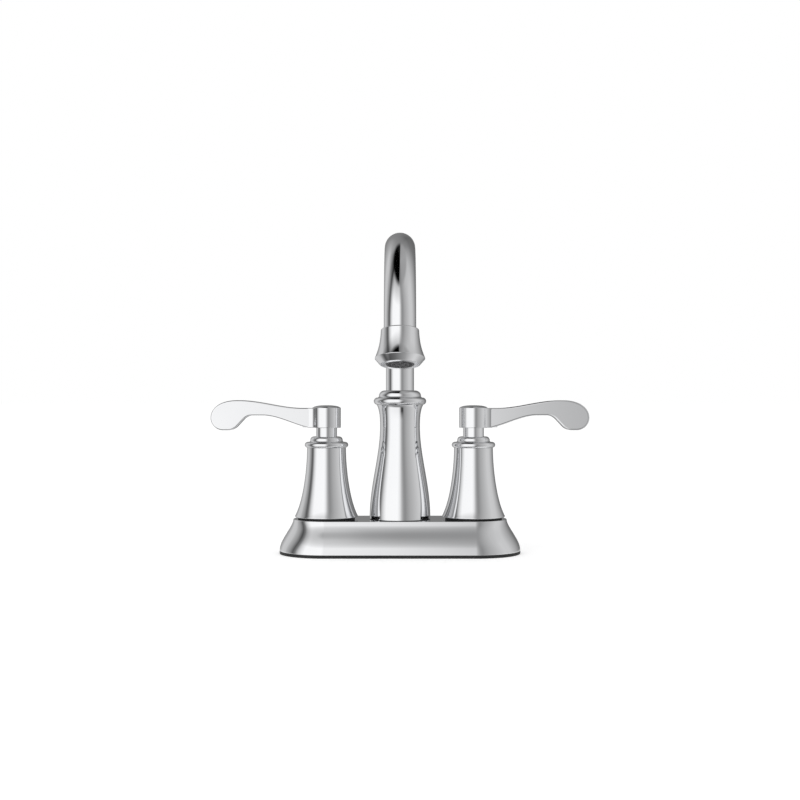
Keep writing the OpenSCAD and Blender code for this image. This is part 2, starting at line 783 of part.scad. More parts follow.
module aerator_housing() {
    bore = aerator_r - aerator_wall;
    color("silver") at_outlet() difference() {
        cylinder(r = aerator_r, h = aerator_h);
        hole(bore, 0, aerator_h);
    }
}

// open rings on spokes under a pierced plate
module aerator_insert() {
    r = aerator_r - aerator_wall - 0.05;
    foot = 1;
    grid_h = 3;
    plate_t = 1.2;
    rib = 0.8;
    color([0.16, 0.16, 0.17]) at_outlet() union() {
        ring(r, r - 1, foot, aerator_h - foot);
        for (k = [0.32, 0.62]) ring(k * r + rib / 2, k * r - rib / 2, foot, grid_h);
        difference() {
            union() {
                for (i = [0:aerator_spokes - 1]) rotate([0, 0, 360 * i / aerator_spokes])
                    translate([0, -rib / 2, foot]) cube([r - 0.5, rib, grid_h]);
                translate([0, 0, foot + grid_h]) cylinder(r = r - 0.5, h = plate_t);
            }
            hole(0.12 * r, foot, grid_h + plate_t);
            for (k = [0.47, 0.77], i = [0:aerator_spokes - 1])
                rotate([0, 0, 360 * (i + 0.5) / aerator_spokes]) translate([k * r, 0, 0])
                    hole(0.09 * r, foot + grid_h - 1, plate_t + 2);
        }
    }
}

deck_plate();
deck_gasket();
spout_column();
column_seal();
spout_spigot();
guide_bush();
spout_thrust_washer();
spout_snap_ring();
on_hot() bell();  // hot_bell
on_hot() bell_seal();  // hot_bell_seal
on_hot() valve_body();  // hot_valve_body
on_hot() crossover();  // hot_crossover
on_hot() cartridge_housing();  // hot_cartridge_housing
on_hot() thrust_washer();  // hot_thrust_washer
on_hot() fixed_disc();  // hot_fixed_disc
on_hot() seat_seal();  // hot_seat_seal
on_cold() bell();  // cold_bell
on_cold() bell_seal();  // cold_bell_seal
on_cold() valve_body();  // cold_valve_body
on_cold() crossover();  // cold_crossover
on_cold() cartridge_housing();  // cold_cartridge_housing
on_cold() thrust_washer();  // cold_thrust_washer
on_cold() fixed_disc();  // cold_fixed_disc
on_cold() seat_seal();  // cold_seat_seal
on_hot() handle();  // hot_handle
on_hot() set_screw();  // hot_set_screw
on_hot() stem();  // hot_stem
on_hot() stem_oring();  // hot_stem_oring
on_hot() stem_clip();  // hot_stem_clip
on_hot() moving_disc();  // hot_moving_disc
on_cold() handle();  // cold_handle
on_cold() set_screw();  // cold_set_screw
on_cold() stem();  // cold_stem
on_cold() stem_oring();  // cold_stem_oring
on_cold() stem_clip();  // cold_stem_clip
on_cold() moving_disc();  // cold_moving_disc
spout_tube();
spout_insert();
spout_orings();
spout_ferrule();
aerator_washer();
aerator_housing();
aerator_insert();
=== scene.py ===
"""A two-handle bathroom faucet, dressed for the studio: every length is in metres."""

import json
import math

import bmesh
import bpy
from mathutils import Matrix, Vector


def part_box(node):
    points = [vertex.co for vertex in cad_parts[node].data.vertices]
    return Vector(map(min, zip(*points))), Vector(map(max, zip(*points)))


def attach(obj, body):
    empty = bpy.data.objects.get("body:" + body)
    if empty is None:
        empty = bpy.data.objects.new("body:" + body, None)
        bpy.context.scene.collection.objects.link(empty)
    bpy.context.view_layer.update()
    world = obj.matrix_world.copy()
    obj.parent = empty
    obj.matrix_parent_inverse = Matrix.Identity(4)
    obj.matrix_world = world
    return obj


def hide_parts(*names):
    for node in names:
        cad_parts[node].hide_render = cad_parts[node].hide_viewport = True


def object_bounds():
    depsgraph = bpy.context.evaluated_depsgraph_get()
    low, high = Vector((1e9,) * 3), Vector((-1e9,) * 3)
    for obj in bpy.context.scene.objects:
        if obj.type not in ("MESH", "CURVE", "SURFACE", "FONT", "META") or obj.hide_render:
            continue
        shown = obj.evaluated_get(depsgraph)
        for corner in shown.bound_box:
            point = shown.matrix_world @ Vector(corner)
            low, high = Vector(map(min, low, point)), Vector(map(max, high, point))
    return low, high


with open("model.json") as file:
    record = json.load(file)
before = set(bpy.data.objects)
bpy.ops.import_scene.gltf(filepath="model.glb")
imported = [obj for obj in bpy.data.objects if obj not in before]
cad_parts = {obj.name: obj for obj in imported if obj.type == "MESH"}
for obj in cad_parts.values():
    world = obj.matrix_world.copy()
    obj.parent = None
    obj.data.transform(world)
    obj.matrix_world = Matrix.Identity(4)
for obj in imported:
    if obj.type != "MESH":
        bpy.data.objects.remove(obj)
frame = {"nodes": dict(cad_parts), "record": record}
cad_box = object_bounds()

MM = 0.001
WELD = 0.004 * MM
SKIN = 0.01 * MM
ROUND_STEPS = 144
CURVE_STEPS = 44

# Where the camera stood for the photograph, and its lens
CAMERA_AT = Vector((0.0, -0.880, 0.1058))
SENSOR = 36.0
LENS = 57.26


def span(node):
    """Half width, lowest and highest point of a round CAD node."""
    low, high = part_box(node)
    return (high.x - low.x) / 2, low.z, high.z


def middle(node):
    """The middle of a CAD node's box."""
    low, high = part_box(node)
    return (low + high) / 2


# Driving sizes that a node's box doesn't give: fits, then the bells
LEAD_IN = 1 * MM
CLEARANCE = 0.25 * MM
DOME_HOLLOW = 1.2 * MM
BELL_LIP = 0.7 * MM
BELL_NECK = 13.4 * MM
BELL_BEAD = 15.0 * MM
BELL_BEAD_H = 3.9 * MM
BELL_DOME_H = 3.8 * MM
BELL_DOME = 11.2 * MM
BELL_CROWN = 8.6 * MM
BELL_PULLS = (0.72, 0.239), (1, 0.727)
BELL_WALL = 1.9 * MM
BELL_THROAT = 11.3 * MM
BELL_SHELF = 18.3 * MM
BELL_LAND = 11.85 * MM
BELL_LAND_H = 10 * MM
BELL_LAND_DROP = 12.4 * MM
BELL_RING_H = 1.2 * MM
BELL_RING_FOOT = 9.0 * MM
# Column
COLUMN_WAIST = 13.75 * MM
COLUMN_WAIST_H = 63.8 * MM
COLUMN_FLARE = 16.1 * MM
COLUMN_FLARE_H = 14.5 * MM
COLUMN_BEAD = 18.1 * MM
COLUMN_BEAD_H = 5.0 * MM
COLUMN_DOME = 14.5 * MM
COLUMN_CROWN = 10.5 * MM
COLUMN_LOW_PULLS = (0, 0.368), (1, 0.666)
COLUMN_HIGH_PULLS = (0, 0.789), (0.86, 0.948)
COLUMN_WALL = 2.0 * MM
COLUMN_LAND_H = 12 * MM
COLUMN_LAND_STEP = 0.3 * MM
COLUMN_RING_H = 2.5 * MM
# Deck plate, gasket and seals
PLATE_TOP = 22.9 * MM
PLATE_WALL = 2.5 * MM
PLATE_EDGE = 0.35 * MM
PLATE_PULLS = (0, 0.34), (1, 0.77)
PLATE_LAND = 0.6 * MM
PLATE_FLAT = 0.8 * MM
PLATE_VALVE_HOLE = 11.95 * MM
PLATE_SPOUT_HOLE = 11.55 * MM
GASKET_EDGE = 0.45 * MM
GASKET_CHAMFER = 0.2 * MM
GASKET_LIP_IN = 3.7 * MM
GASKET_LIP = 1.5 * MM
GASKET_VALVE_HOLE = 12 * MM
GASKET_STUD_HOLE = 5.5 * MM
GASKET_STUD_BACK = 12.2 * MM
SEAL_WALL = 2.8 * MM
SEAL_RECESS = 0.9 * MM
COLUMN_SEAL_WALL = 3.6 * MM
# Handle, from its hub to its neck
HUB = 9.85 * MM
HUB_H = 14.0 * MM
HUB_FOOT_EDGE = 0.5 * MM
HUB_TOP_EDGE = 0.4 * MM
HUB_DOME_IN = 1.3 * MM
HUB_DOME_FOOT = 0.6 * MM
HUB_DOME_H = 1.6 * MM
HUB_OVER_BELL = 6.0 * MM
SOCKET = 4.15 * MM
SOCKET_ROOF = 4.0 * MM
NECK = 7.2 * MM
# Spout, with the outlet's pieces measured from its mouth
TUBE = 9.65 * MM
TUBE_WALL = 1.2 * MM
REAR_LEG = 29.8 * MM
FRONT_LEG = 29.95 * MM
OUTLET_TILT = math.radians(12)
MOUTH_RISE = 1.15 * MM
TUBE_END = 9.1 * MM
FERRULE_H = 22.6 * MM
FERRULE_RIM = 15.0 * MM
FERRULE_NECK = 11.4 * MM
FERRULE_MOUTH = 11.9 * MM
FERRULE_CHAMFER_H = 3.7 * MM
FERRULE_SHOULDER = 0.8 * MM
FERRULE_PULLS = (0.58, 0.3), (0.9, 0.55)
AERATOR = 10.3 * MM
AERATOR_BORE = 8.4 * MM
AERATOR_H = 7.6 * MM
AERATOR_SEAT = 10.35 * MM
AERATOR_CHAMFER = (0.5 * MM, 0.6 * MM)


def select_only(piece):
    """Leaves this piece selected and active, and no other."""
    bpy.ops.object.select_all(action="DESELECT")
    piece.select_set(True)
    bpy.context.view_layer.objects.active = piece


def weld_up(piece):
    """Merges doubled vertices, turns the faces outwards and leaves edit mode."""
    bpy.ops.mesh.select_all(action="SELECT")
    bpy.ops.mesh.remove_doubles(threshold=WELD)
    bpy.ops.mesh.normals_make_consistent(inside=False)
    bpy.ops.object.mode_set(mode="OBJECT")
    return piece


def first_point(name, at):
    """A new piece in edit mode, with one vertex to draw from."""
    bpy.ops.object.select_all(action="DESELECT")
    bpy.ops.mesh.primitive_plane_add(size=MM)
    piece = bpy.context.active_object
    piece.name = name
    bpy.ops.object.mode_set(mode="EDIT")
    bpy.ops.mesh.select_all(action="SELECT")
    bpy.ops.mesh.merge(type="CENTER")
    bpy.ops.transform.translate(value=at)
    return piece


def draw_on(points):
    """Draws a profile onwards from its first point, one vertex after the other."""
    for here, there in zip(points, points[1:]):
        bpy.ops.mesh.extrude_region_move(TRANSFORM_OT_translate={"value": there - here})


def finish_with(piece, kind, **settings):
    """Adds a modifier with these settings and applies it."""
    select_only(piece)
    modifier = piece.modifiers.new(kind.lower(), kind)
    for key, value in settings.items():
        setattr(modifier, key, value)
    bpy.ops.object.modifier_apply(modifier=modifier.name)


def smooth(piece, degrees=32):
    """Smooth shading up to this angle, in which the broad faces stay flat next to their rounds."""
    select_only(piece)
    bpy.ops.mesh.customdata_custom_splitnormals_clear()
    bpy.ops.object.shade_smooth_by_angle(angle=math.radians(degrees))
    finish_with(piece, "WEIGHTED_NORMAL", keep_sharp=True)
    return piece


def soften(piece, width, segments=2, degrees=40):
    """A small round on every sharp edge, as polishing leaves."""
    finish_with(
        piece, "BEVEL", width=width, segments=segments, limit_method="ANGLE",
        angle_limit=math.radians(degrees), use_clamp_overlap=True,
    )


def settle(piece, place):
    """Moves a finished piece to its place and leaves its object at the origin."""
    piece.matrix_world = place
    select_only(piece)
    bpy.ops.object.transform_apply(location=True, rotation=True, scale=True)
    return piece


def turned(name, profile, steps=ROUND_STEPS, edge=0.12 * MM):
    """A turned piece: a closed profile of (radius, height) points spun about the Z axis."""
    points = [Vector((r, 0, z)) for r, z in profile]
    piece = first_point(name, points[0])
    draw_on(points + [points[0]])
    bpy.ops.mesh.select_all(action="SELECT")
    bpy.ops.mesh.spin(steps=steps, angle=math.tau, center=(0, 0, 0), axis=(0, 0, 1))
    weld_up(piece)
    if edge:
        soften(piece, edge)
    return smooth(piece)


def copied(piece, name, shift=None, mirrored=False):
    """A copy with a mesh of its own, moved along or mirrored across the middle."""
    select_only(piece)
    bpy.ops.object.duplicate()
    twin = bpy.context.active_object
    twin.name = name
    place = Matrix.Scale(-1, 4, (1, 0, 0)) if mirrored else Matrix.Translation(shift)
    settle(twin, place)
    if mirrored:
        bpy.ops.object.mode_set(mode="EDIT")
        weld_up(twin)
        smooth(twin)
    return twin


def along(a, b, pull):
    """A point between two others, each way by its own share."""
    return Vector((a[0] + (b[0] - a[0]) * pull[0], a[1] + (b[1] - a[1]) * pull[1]))


def curve(a, b, pull_a, pull_b, steps=CURVE_STEPS):
    """A smooth stretch of a profile between two points, bent by two pulls."""
    a, b = Vector(a), Vector(b)
    c, d = along(a, b, pull_a), along(a, b, pull_b)
    points = []
    for i in range(steps + 1):
        t = i / steps
        s = 1 - t
        points.append(s ** 3 * a + 3 * s * s * t * c + 3 * s * t * t * d + t ** 3 * b)
    return [tuple(p) for p in points]


def arc(centre, radius, start, end, steps=14):
    """A round stretch of a profile, between two angles in degrees."""
    points = []
    for i in range(steps + 1):
        a = math.radians(start + (end - start) * i / steps)
        points.append((centre[0] + radius * math.cos(a), centre[1] + radius * math.sin(a)))
    return points


def bead(radius, foot, height):
    """A half-round bead, given by its largest radius."""
    half = height / 2
    return arc((radius - half, foot + half), half, -90, 90, 20)


def hollow(radius, foot):
    """The hollow in which a dome rises from its bead."""
    centre = (radius + DOME_HOLLOW, foot + DOME_HOLLOW)
    return arc(centre, DOME_HOLLOW, 270, 180, 8)


def crown(foot, top, pull):
    """The round of a dome from its hollow up to its flat ring."""
    return curve(foot, top, (0, 0.6), pull, 16)[1:]


def inset_by(points, wall, limit=1.0):
    """The inside of a wall: the same stretch moved in by the wall, up to a widest radius."""
    return [(min(r - wall, limit), z) for r, z in points]


def bell(name, node):
    """Flared bell with its lip, bead and dome, hollow inside."""
    foot_r, foot, top = span(node)
    dome = top - BELL_DOME_H
    bead_z = dome - BELL_BEAD_H
    flare = curve((foot_r, foot + BELL_LIP), (BELL_NECK, bead_z), *BELL_PULLS)
    land_top = bead_z - BELL_LAND_DROP
    land_foot = land_top - BELL_LAND_H
    ring = dome + BELL_RING_H
    inside = [p for p in inset_by(flare, BELL_WALL, BELL_SHELF) if p[1] < land_foot]
    hole = NECK + CLEARANCE
    profile = (
        [(BELL_SHELF, foot)]
        + arc((foot_r - BELL_LIP, foot + BELL_LIP), BELL_LIP, -90, -8, 6)
        + flare
        + bead(BELL_BEAD, bead_z, BELL_BEAD_H)
        + hollow(BELL_DOME, dome)
        + crown((BELL_DOME, dome + DOME_HOLLOW), (BELL_CROWN, top), (0.4, 1))
        + [(hole, top), (hole, ring), (BELL_CROWN, ring), (BELL_RING_FOOT, dome)]
        + [(BELL_THROAT, bead_z + LEAD_IN), (BELL_THROAT, land_top + LEAD_IN)]
        + [(BELL_LAND, land_top), (BELL_LAND, land_foot)]
        + inside[::-1]
    )
    piece = turned(name, profile)
    centre = middle(node)
    return settle(piece, Matrix.Translation((centre.x, centre.y, 0)))


def column(name, node):
    """Spout column: flared foot, waist, cup, bead and dome, hollow inside."""
    foot_r, foot, top = span(node)
    waist = foot + COLUMN_WAIST_H
    bead_z = waist + COLUMN_FLARE_H
    dome = bead_z + COLUMN_BEAD_H
    waist_at, flare_at = (COLUMN_WAIST, waist), (COLUMN_FLARE, bead_z)
    low = curve((foot_r, foot), waist_at, *COLUMN_LOW_PULLS)
    high = curve(waist_at, flare_at, *COLUMN_HIGH_PULLS, 24)
    bore = COLUMN_WAIST - COLUMN_WALL
    land = bore - COLUMN_LAND_STEP
    land_foot = waist - COLUMN_LAND_H
    inside = [p for p in inset_by(low, COLUMN_WALL) if p[1] < land_foot - LEAD_IN]
    hole = TUBE + CLEARANCE
    ring = top - COLUMN_RING_H
    profile = (
        low[:-1]
        + high
        + bead(COLUMN_BEAD, bead_z, COLUMN_BEAD_H)
        + hollow(COLUMN_DOME, dome)
        + crown((COLUMN_DOME, dome + DOME_HOLLOW), (COLUMN_CROWN, top), (0.5, 1))
        + [(hole, top), (hole, ring), (bore, ring), (bore, waist + LEAD_IN / 2)]
        + [(land, waist), (land, land_foot)]
        + inside[::-1]
    )
    return turned(name, profile)


def stadium(name, profile, reach):
    """A profile, from middle line to middle line, taken round both ends and straight between."""
    points = [Vector((-reach, r, z)) for r, z in profile]
    piece = first_point(name, points[0])
    draw_on(points)
    bpy.ops.mesh.select_all(action="SELECT")
    for side in (-1, 1):
        bpy.ops.mesh.spin(
            steps=ROUND_STEPS // 2, angle=math.pi, center=(side * reach, 0, 0), axis=(0, 0, -1)
        )
        bpy.ops.mesh.extrude_region_move(
            TRANSFORM_OT_translate={"value": (-2 * side * reach, 0, 0)}
        )
    return weld_up(piece)


def drilled(piece, holes):
    """Bores round holes, each given as (x, y, radius), right through."""
    for x, y, radius in holes:
        bpy.ops.object.select_all(action="DESELECT")
        bpy.ops.mesh.primitive_cylinder_add(
            vertices=96, radius=radius, depth=200 * MM, location=(x, y, 0)
        )
        tool = bpy.context.active_object
        finish_with(piece, "BOOLEAN", object=tool, operation="DIFFERENCE", solver="EXACT")
        bpy.data.objects.remove(tool)
    bpy.ops.object.mode_set(mode="EDIT")
    return weld_up(piece)


def deck_plate():
    """Ogee casting, open underneath, with the three holes that the bodies come up through."""
    low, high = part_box("deck_plate")
    reach = middle("cold_bell").x
    foot_r = high.x - reach - SKIN
    side = curve((foot_r, low.z), (PLATE_TOP, high.z - PLATE_EDGE), *PLATE_PULLS, 56)
    under = high.z - PLATE_WALL
    inside = [p for p in inset_by(side, PLATE_WALL) if p[1] < under - LEAD_IN / 2]
    profile = (
        [(0, under), (PLATE_TOP - PLATE_WALL, under)]
        + inside[::-1]
        + [(foot_r - PLATE_LAND, low.z)]
        + side
        + arc((PLATE_TOP - PLATE_EDGE, high.z - PLATE_EDGE), PLATE_EDGE, 10, 90, 5)
        + [(PLATE_TOP - PLATE_FLAT, high.z), (0, high.z)]
    )
    piece = stadium("deck_casting", profile, reach)
    valves = [(-reach, 0, PLATE_VALVE_HOLE), (reach, 0, PLATE_VALVE_HOLE)]
    drilled(piece, valves + [(0, 0, PLATE_SPOUT_HOLE)])
    return smooth(piece)


def deck_gasket():
    """Black sheet whose rim shows under the casting, with its locating lip inside."""
    low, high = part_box("deck_gasket")
    reach = middle("cold_bell").x
    r = high.x - reach - SKIN
    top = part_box("deck_plate")[0].z
    lip_out = r - GASKET_LIP_IN
    lip_in = lip_out - GASKET_LIP
    profile = (
        [(0, low.z)]
        + arc((r - GASKET_EDGE, low.z + GASKET_EDGE), GASKET_EDGE, -90, 0, 5)
        + [(r, top - GASKET_CHAMFER), (r - GASKET_CHAMFER, top), (lip_out, top), (lip_out, high.z)]
        + [(lip_in, high.z), (lip_in, top), (0, top)]
    )
    piece = stadium("gasket_sheet", profile, reach)
    bpy.ops.object.mode_set(mode="EDIT")
    bpy.ops.mesh.select_all(action="SELECT")
    bpy.ops.mesh.dissolve_limited(angle_limit=math.radians(0.05))
    bpy.ops.object.mode_set(mode="OBJECT")
    openings = ((0, GASKET_VALVE_HOLE), (GASKET_STUD_BACK, GASKET_STUD_HOLE))
    holes = [(side * reach, y, size) for side in (-1, 1) for y, size in openings]
    return smooth(drilled(piece, holes))


def seal(name, node, wall, recess=0.0):
    """A flat ring of rubber with soft edges, set back from the edge of its body; under a bell its
    dark rubber is partly painted shade, standing in for the shadow gap under the lip.
    """
    r, foot, top = span(node)
    r -= recess
    piece = turned(name, [(r - wall, foot), (r, foot), (r, top), (r - wall, top)], edge=0.1 * MM)
    centre = middle(node)
    return settle(piece, Matrix.Translation((centre.x, centre.y, 0)))


def bend_of_spout():
    """Height at which the bend starts, and its radius on the tube's middle line."""
    start = span("spout_column")[2] + REAR_LEG
    return start, span("spout_tube")[2] - start - TUBE - SKIN


def outlet_place():
    """The mouth of the spout: its place and lean, worked out along the bend."""
    bend_z, bend = bend_of_spout()
    sweep = math.pi - OUTLET_TILT
    y = -bend * (1 - math.cos(sweep)) - FRONT_LEG * math.sin(OUTLET_TILT)
    z = bend_z + bend * math.sin(sweep) - FRONT_LEG * math.cos(OUTLET_TILT)
    return Matrix.Translation((0, y, z)) @ Matrix.Rotation(-OUTLET_TILT, 4, "X")


def spout_tube():
    """The bent tube, from inside the column over to inside the ferrule."""
    foot = span("spout_tube")[1]
    bend_z, bend = bend_of_spout()
    bpy.ops.object.select_all(action="DESELECT")
    bpy.ops.mesh.primitive_circle_add(vertices=128, radius=TUBE, location=(0, 0, 0))
    piece = bpy.context.active_object
    piece.name = "gooseneck"
    bpy.ops.object.mode_set(mode="EDIT")
    bpy.ops.mesh.select_all(action="SELECT")
    bpy.ops.transform.translate(value=(0, 0, foot))
    bpy.ops.mesh.extrude_region_move(TRANSFORM_OT_translate={"value": (0, 0, bend_z - foot)})
    bpy.ops.mesh.spin(
        steps=150, angle=math.pi - OUTLET_TILT, center=(0, -bend, bend_z), axis=(-1, 0, 0)
    )
    way = outlet_place().to_3x3() @ Vector((0, 0, TUBE_END - FRONT_LEG))
    bpy.ops.mesh.extrude_region_move(TRANSFORM_OT_translate={"value": way})
    weld_up(piece)
    finish_with(piece, "SOLIDIFY", thickness=TUBE_WALL, offset=-1)
    return smooth(piece)


def ferrule():
    """Bell-shaped end of the spout, with its rim and the chamfer under it."""
    chamfer = MOUTH_RISE + FERRULE_CHAMFER_H
    shoulder = FERRULE_SHOULDER
    round_at = (FERRULE_NECK - shoulder, FERRULE_H - shoulder)
    side = curve((FERRULE_RIM, chamfer), (FERRULE_NECK, round_at[1]), *FERRULE_PULLS, 36)
    profile = (
        [(AERATOR_SEAT, MOUTH_RISE), (FERRULE_MOUTH, MOUTH_RISE)]
        + side
        + arc(round_at, shoulder, 10, 90, 6)
        + [(TUBE, FERRULE_H), (TUBE, TUBE_END), (AERATOR_SEAT, TUBE_END)]
    )
    return settle(turned("spout_bell", profile, edge=0.15 * MM), outlet_place())


def aerator_ring():
    """Chromed housing of the aerator, flush in the ferrule's mouth."""
    foot = MOUTH_RISE
    inward, upward = AERATOR_CHAMFER
    profile = [
        (AERATOR_BORE + inward, foot), (AERATOR, foot), (AERATOR, AERATOR_H),
        (AERATOR_BORE, AERATOR_H), (AERATOR_BORE, foot + upward),
    ]
    return settle(turned("aerator_ring", profile, edge=0.08 * MM), outlet_place())


def ease(t):
    """Rises from 0 to 1, a little early."""
    t = min(max(t, 0), 1)
    return (t * t * (3 - 2 * t) + math.sin(t * math.pi / 2)) / 2


def step(t):
    """Rises from 0 to 1, level at both ends."""
    t = min(max(t, 0), 1)
    return t * t * (3 - 2 * t)


def spaced(start, end, count):
    """Evenly spaced values, both ends among them."""
    return [start + (end - start) * i / count for i in range(count + 1)]


# A handle's blade, and the stub that carries it into the hub
BLADE_REACH = 79.65 * MM
BLADE_TIP = 8.6 * MM
BLADE_TIP_H = 20.6 * MM
BLADE_HEEL = 3.5 * MM
BLADE_BAY = 8.5 * MM
BAY_TURN = 47
BLADE_RISE = 5.3 * MM
BLADE_START = 4 * MM
BLADE_WAIST_AT, BLADE_CREST_AT = 0.62, 0.87
BLADE_CREST = 2 * MM
ARM_DROP = 0.3 * MM
ARM_H = 10.2 * MM
ARM_ROOT_H = 13.6 * MM
ARM_STEP = 0.2 * MM
BLADE_EDGE = 1.0 * MM
BLADE_LAND = 1.25 * MM
BLADE_HALF_T = 4.0 * MM
BLADE_LEAN = math.radians(0.51)
ROOT_HOLLOW = 6.2 * MM
ROOT_SINK = 0.02 * MM
ROOT_EDGE = 0.3 * MM


def hollow_centre():
    """Centre of the hollow between the hub and the blade's face: reach and side."""
    side = BLADE_HALF_T + ROOT_HOLLOW - ROOT_SINK
    return math.sqrt((HUB + ROOT_HOLLOW) ** 2 - side ** 2), side


def blade_outline(hub_top):
    """Outline of a blade seen from the front: under edge, round tip, top edge."""
    tip_u = BLADE_REACH - BLADE_TIP
    arm_u = hollow_centre()[0]
    rise_u = arm_u + BLADE_HALF_T
    arm_top = hub_top - ARM_DROP
    top = arm_top + BLADE_RISE
    tip_z = top - BLADE_TIP_H + BLADE_TIP
    arm_under = top - ARM_STEP - ARM_H
    root_under = arm_top - ARM_ROOT_H
    waist, crest = BLADE_WAIST_AT * tip_u, BLADE_CREST_AT * tip_u
    heel = arc((tip_u - BLADE_HEEL, tip_z), BLADE_TIP, -90 - BAY_TURN, -90, 20)
    turn = math.radians(BAY_TURN)
    drop = arm_under - BLADE_BAY * (1 - math.cos(turn)) - heel[0][1]
    bay = heel[0][0] - BLADE_BAY * math.sin(turn) - drop / math.tan(turn)

    def under(u):
        return root_under + (arm_under - root_under) * ease((u - arm_u) / (waist - arm_u))

    def over(u):
        return arm_top + BLADE_RISE * step((u - rise_u) / (crest - BLADE_CREST - rise_u))

    outline = [(u, under(u)) for u in spaced(BLADE_START, bay, 40)]
    outline += arc((bay, arm_under - BLADE_BAY), BLADE_BAY, 90, 90 - BAY_TURN, 16)[1:]
    outline += heel + arc((tip_u, tip_z), BLADE_TIP, -90, 0, 40)
    outline += curve((BLADE_REACH, tip_z), (crest, top), (0, 0.6), (0.42, 1), 40)[1:]
    outline += [(u, over(u)) for u in spaced(crest - BLADE_CREST / 2, BLADE_START, 60)]
    return outline


def in_edit(piece, chosen):
    """Selects the vertices of a piece in edit mode for which chosen(place) is true."""
    bpy.ops.mesh.select_all(action="DESELECT")
    mesh = bmesh.from_edit_mesh(piece.data)
    for vertex in mesh.verts:
        if chosen(vertex.co):
            vertex.select = True
    mesh.select_flush_mode()
    bmesh.update_edit_mesh(piece.data)


def flat_piece(name, points, push):
    """A solid made from one flat outline, pushed straight out."""
    piece = first_point(name, points[0])
    draw_on(points + [points[0]])
    bpy.ops.mesh.select_all(action="SELECT")
    bpy.ops.mesh.remove_doubles(threshold=WELD)
    bpy.ops.mesh.edge_face_add()
    bpy.ops.mesh.extrude_region_move(TRANSFORM_OT_translate={"value": push})
    bpy.ops.mesh.select_all(action="SELECT")
    bpy.ops.mesh.normals_make_consistent(inside=False)
    return piece


def blade(hub_top):
    """The blade of the hot handle, about the hub's own axis, before it joins the hub."""
    t = BLADE_HALF_T
    points = [Vector((-u, -t, z)) for u, z in blade_outline(hub_top)]
    piece = flat_piece("blade", points, Vector((0, 2 * t, 0)))
    for side in (-1, 1):
        in_edit(piece, lambda p, side=side: p.y * side > t / 2)
        bpy.ops.mesh.inset(thickness=BLADE_LAND)
        in_edit(piece, lambda p, side=side: p.y * side > t / 2)
        bpy.ops.transform.rotate(
            value=BLADE_LEAN * side, orient_axis="Z",
            center_override=(-hollow_centre()[0], side * t, 0),
        )
    bpy.ops.object.mode_set(mode="OBJECT")
    soften(piece, BLADE_EDGE, 6, 60)
    return piece


def blade_root(hub_top):
    """The stub that carries the blade's faces into the round hub with a hollow on each side."""
    reach, side = hollow_centre()
    start = math.degrees(math.asin(side / (HUB + ROOT_HOLLOW)))
    half = arc((reach, side), ROOT_HOLLOW, 180 + start, 270, 20)
    half += [(reach + BLADE_HALF_T, BLADE_HALF_T / 2)]
    plan = half + [(u, -y) for u, y in half[::-1]]
    points = [Vector((-u, y, hub_top - ARM_ROOT_H)) for u, y in plan]
    piece = flat_piece("blade_root", points, Vector((0, 0, ARM_ROOT_H - 2 * ARM_DROP)))
    bpy.ops.object.mode_set(mode="OBJECT")
    soften(piece, ROOT_EDGE, 3, 60)
    return piece


def hub(node):
    """Hub and neck of a handle as one turned piece, with the socket for the stem."""
    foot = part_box(node)[0].z
    hub_z = span("hot_bell")[2] + HUB_OVER_BELL
    hub_top = hub_z + HUB_H
    socket_top = hub_top - SOCKET_ROOF
    low_edge, top_edge = HUB_FOOT_EDGE, HUB_TOP_EDGE
    dome_foot, dome_top = (HUB - HUB_DOME_IN, hub_top + HUB_DOME_FOOT), (0, hub_top + HUB_DOME_H)
    profile = (
        [(SOCKET, foot), (NECK, foot), (NECK, hub_z)]
        + arc((HUB - low_edge, hub_z + low_edge), low_edge, -90, 0, 5)
        + [(HUB, hub_top - low_edge)]
        + arc((HUB - top_edge, hub_top - top_edge), top_edge, 0, 45, 3)
        + curve(dome_foot, dome_top, (0.25, 0.8), (0.6, 1), 20)
        + [(0, socket_top), (SOCKET, socket_top)]
    )
    return turned("hub", profile, edge=0.1 * MM), hub_top


def handle(name, node):
    """A handle's casting: hub, neck and blade in one."""
    piece, hub_top = hub(node)
    for joined in (blade(hub_top), blade_root(hub_top)):
        finish_with(piece, "BOOLEAN", object=joined, operation="UNION", solver="EXACT")
        bpy.data.objects.remove(joined)
    piece.name = name
    smooth(piece, 30)
    centre = middle("hot_bell")
    return settle(piece, Matrix.Translation((centre.x, centre.y, 0)))


# Materials


def group_of(name, inputs, outputs):
    """A shader node group with named sockets, its input node and its output node."""
    group = bpy.data.node_groups.new(name, "ShaderNodeTree")
    for label, kind, value in inputs:
        socket = group.interface.new_socket(label, in_out="INPUT", socket_type=kind)
        socket.default_value = value
    for label, kind in outputs:
        group.interface.new_socket(label, in_out="OUTPUT", socket_type=kind)
    return group, group.nodes.new("NodeGroupInput"), group.nodes.new("NodeGroupOutput")


def wire(tree, source, target):
    """Links an output to an input."""
    tree.links.new(source, target)


# What every effect group gives to its material
SURFACE = [
    ("Color", "NodeSocketColor"), ("Roughness", "NodeSocketFloat"), ("Height", "NodeSocketFloat"),
]


